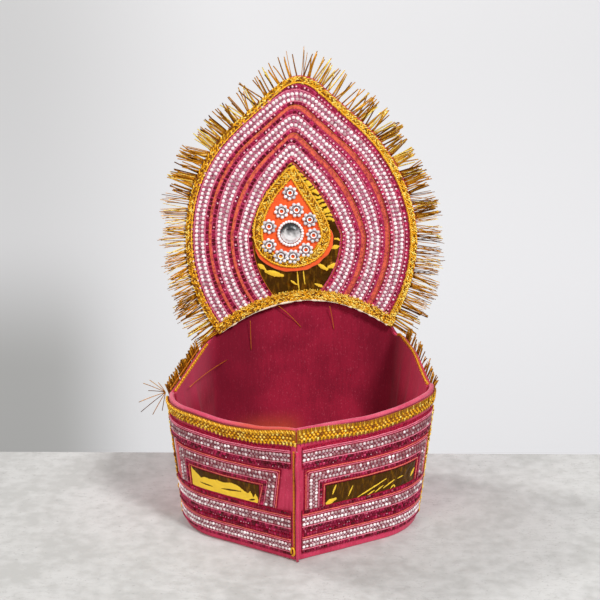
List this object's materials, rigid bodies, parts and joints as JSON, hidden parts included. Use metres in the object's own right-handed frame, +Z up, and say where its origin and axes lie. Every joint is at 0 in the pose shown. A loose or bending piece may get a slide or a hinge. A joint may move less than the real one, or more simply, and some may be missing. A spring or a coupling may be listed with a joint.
{
  "type": "mukut crown",
  "caption": "Cloth crown with a low padded band, a front ridge, a lined back wall and a tall leaf behind, trimmed with stone galloon, gold braid, foil, a mirror jewel and a tinsel fringe.",
  "frame": {"origin": "on the surface that the crown stands on, under the middle of its box", "axes": "+Z up through the head opening, -Y towards the front ridge, +X to the right as seen from the front"},
  "size_m": [0.2048, 0.1916, 0.3074],
  "materials": {
    "pink_cloth": "plain woven, slight sheen",
    "lining_cloth": "plain woven, matt",
    "gold_braid": "metallic yarn, braided",
    "gold_tinsel": "metallised film, slit into strands",
    "stone_galloon": "rows of acrylic stones on net",
    "gold_foil": "metallised film, crinkled",
    "orange_felt": "felt",
    "crystal": "clear acrylic beads",
    "mirror_stone": "silvered stone"
  },
  "bodies": {
    "root": {"front_panel_left": "pink_cloth", "front_panel_right": "pink_cloth", "back_wall": "pink_cloth", "back_lining": "lining_cloth", "leaf_plate": "pink_cloth", "rim_roll": "pink_cloth", "ridge_fold": "pink_cloth", "ridge_cord": "gold_braid", "rim_lace_left": "gold_braid", "rim_lace_right": "gold_braid", "side_braid_left": "gold_braid", "side_braid_right": "gold_braid", "edge_cord_left": "gold_braid", "edge_cord_right": "gold_braid", "galloon_top_left": "stone_galloon", "galloon_top_right": "stone_galloon", "galloon_frame_left": "stone_galloon", "galloon_frame_right": "stone_galloon", "galloon_lower_left": "stone_galloon", "galloon_lower_right": "stone_galloon", "galloon_bottom_left": "stone_galloon", "galloon_bottom_right": "stone_galloon", "front_foil_left": "gold_foil", "front_foil_right": "gold_foil", "leaf_galloon_outer": "stone_galloon", "leaf_galloon_middle": "stone_galloon", "leaf_galloon_inner": "stone_galloon", "leaf_braid": "gold_braid", "arch_braid": "gold_braid", "leaf_foil": "gold_foil", "felt_drop": "orange_felt", "felt_braid": "gold_braid", "flower_1": "crystal", "flower_2": "crystal", "flower_3": "crystal", "flower_4": "crystal", "flower_5": "crystal", "flower_6": "crystal", "flower_7": "crystal", "flower_8": "crystal", "flower_9": "crystal", "flower_10": "crystal", "jewel_ring": "crystal", "mirror_stone": "mirror_stone", "leaf_fringe_lower_left": "gold_tinsel", "leaf_fringe_lower_right": "gold_tinsel", "leaf_fringe_upper_left": "gold_tinsel", "leaf_fringe_upper_right": "gold_tinsel", "side_fringe_left": "gold_tinsel", "side_fringe_right": "gold_tinsel"}
  },
  "joints": []
}
